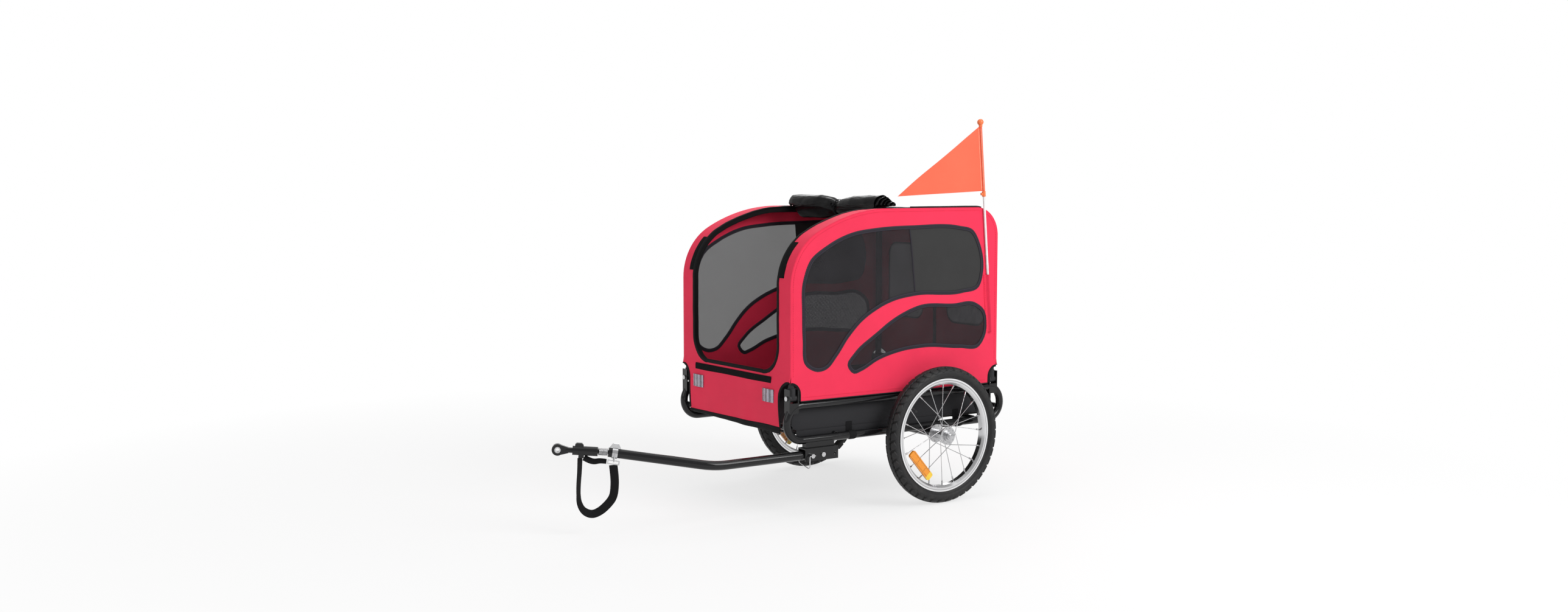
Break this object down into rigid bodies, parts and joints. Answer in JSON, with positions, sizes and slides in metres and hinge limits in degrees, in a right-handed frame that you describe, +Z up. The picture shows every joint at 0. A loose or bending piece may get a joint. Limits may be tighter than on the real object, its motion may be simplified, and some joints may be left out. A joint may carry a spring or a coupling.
{
  "type": "dog bike trailer",
  "caption": "Folding two-wheeled dog bike trailer: red cabin with mesh windows, rolled-up front cover, side tow bar with spring coupler, spoked wheels and flag.",
  "frame": {"origin": "on the ground, in the middle of the footprint box: half way between the hitch eye and the back of the side loops", "axes": "+X to the trailer's left, the side that the tow bar is on; +Y to its rear; +Z up"},
  "size_m": [0.7492, 1.387, 1.0949],
  "materials": {
    "frame_black": "satin powder coat",
    "red_fabric": "woven polyester",
    "black_fabric": "woven polyester",
    "mesh": "fine mesh",
    "vinyl": "glossy",
    "webbing": "woven",
    "black_plastic": "moulded",
    "board": "plywood",
    "bright_steel": "bright",
    "rubber": "matte",
    "tyre": "matte",
    "orange_fabric": "nylon",
    "orange_plastic": "glossy",
    "white_plastic": "glossy",
    "amber": "prismatic",
    "clear_reflector": "prismatic",
    "red_reflector": "prismatic"
  },
  "bodies": {
    "base": {"left_side_loop": "frame_black", "right_side_loop": "frame_black", "cross_tubes": "frame_black", "axle_beam": "frame_black", "floor_board": "board", "floor_tray": "black_fabric", "tray_straps": "black_fabric", "hinge_brackets": "frame_black", "hinge_bolts": "bright_steel", "tow_bracket": "frame_black", "tow_bolt": "bright_steel", "tow_bar": "frame_black", "front_skirt": "red_fabric", "rear_skirt": "red_fabric", "front_reflectors": "clear_reflector", "rear_reflectors": "red_reflector", "strap_clamp": "bright_steel", "coupler_spring": "bright_steel", "coupler_core": "rubber", "safety_strap": "webbing", "strap_tail": "webbing"},
    "left_frame": {"left_hoop": "frame_black", "left_knuckles": "black_plastic", "left_side_panel": "red_fabric", "left_windows": "mesh", "left_cover_wrap": "red_fabric", "left_roll": "vinyl", "flag_pocket": "red_fabric"},
    "right_frame": {"right_hoop": "frame_black", "right_knuckles": "black_plastic", "right_side_panel": "red_fabric", "right_windows": "mesh", "right_cover_wrap": "red_fabric", "right_roll": "vinyl", "roll_tie": "webbing"},
    "flag_set": {"flag_pole": "white_plastic", "flag": "orange_fabric", "pole_ball": "orange_plastic", "flag_clip": "black_plastic"},
    "left_stub": {"left_axle": "bright_steel"},
    "left_button": {"left_release_button": "black_plastic"},
    "left_wheel": {"left_tyre": "tyre", "left_rim": "bright_steel", "left_hub": "bright_steel", "left_bearings": "bright_steel", "left_spokes": "bright_steel", "left_spoke_reflector": "amber"},
    "right_stub": {"right_axle": "bright_steel"},
    "right_button": {"right_release_button": "black_plastic"},
    "right_wheel": {"right_tyre": "tyre", "right_rim": "bright_steel", "right_hub": "bright_steel", "right_bearings": "bright_steel", "right_spokes": "bright_steel", "right_spoke_reflector": "amber"},
    "pin": {"lock_pin": "bright_steel"},
    "bail": {"pin_bail": "bright_steel"},
    "coupler": {"coupler_sleeve": "black_plastic"},
    "eye": {"hitch_eye": "bright_steel", "eye_bushing": "bright_steel"}
  },
  "joints": [
    {"name": "left_fold", "type": "hinge", "parent": "base", "child": "left_frame", "pos_m": [0.271, 0.40984, 0.331], "axis": [0, -1, 0], "range_deg": [0, 93], "deforming": ["left_cover_wrap", "left_roll", "flag_pole", "flag", "pole_ball", "flag_clip"]},
    {"name": "right_fold", "type": "hinge", "parent": "base", "child": "right_frame", "pos_m": [-0.271, 0.40984, 0.331], "axis": [0, 1, 0], "range_deg": [0, 87], "deforming": ["right_cover_wrap", "right_roll", "roll_tie"]},
    {"name": "left_wheel_release", "type": "slide", "parent": "base", "child": "left_stub", "axis": [1, 0, 0], "range_m": [0, 0.1]},
    {"name": "left_wheel_spin", "type": "hinge", "parent": "left_stub", "child": "left_wheel", "pos_m": [0.333, 0.40984, 0.1955], "axis": [1, 0, 0], "continuous": true},
    {"name": "left_button_press", "type": "slide", "parent": "left_stub", "child": "left_button", "axis": [-1, 0, 0], "range_m": [0, 0.003], "stiffness_N_per_m": 600},
    {"name": "right_wheel_release", "type": "slide", "parent": "base", "child": "right_stub", "axis": [-1, 0, 0], "range_m": [0, 0.1]},
    {"name": "right_wheel_spin", "type": "hinge", "parent": "right_stub", "child": "right_wheel", "pos_m": [-0.333, 0.40984, 0.1955], "axis": [1, 0, 0], "continuous": true},
    {"name": "right_button_press", "type": "slide", "parent": "right_stub", "child": "right_button", "axis": [1, 0, 0], "range_m": [0, 0.003], "stiffness_N_per_m": 600},
    {"name": "pin_pull", "type": "slide", "parent": "base", "child": "pin", "axis": [1, 0, 0], "range_m": [0, 0.05]},
    {"name": "bail_swing", "type": "hinge", "parent": "pin", "child": "bail", "pos_m": [0.2975, -0.01566, 0.172], "axis": [0, -1, 0], "range_deg": [0, 120]},
    {"name": "coupler_bend", "type": "hinge", "parent": "base", "child": "coupler", "pos_m": [0.14597, -0.57261, 0.21831], "axis": [0, 0, 1], "range_deg": [-45, 45], "stiffness_Nm_per_rad": 4, "deforming": ["coupler_spring", "coupler_core", "safety_strap", "strap_tail"]},
    {"name": "eye_swivel", "type": "hinge", "parent": "coupler", "child": "eye", "pos_m": [0.11166, -0.64294, 0.22447], "axis": [-0.437, -0.896, 0.0785], "range_deg": [-90, 90]},
    {"name": "flag_pull", "type": "slide", "parent": "left_frame", "child": "flag_set", "axis": [0, -0.079, 0.9969], "range_m": [0, 0.17]}
  ],
  "couplings": [
    {"joint": "pin_pull", "follows": "bail_swing", "m_per_rad": 0.023873}
  ]
}
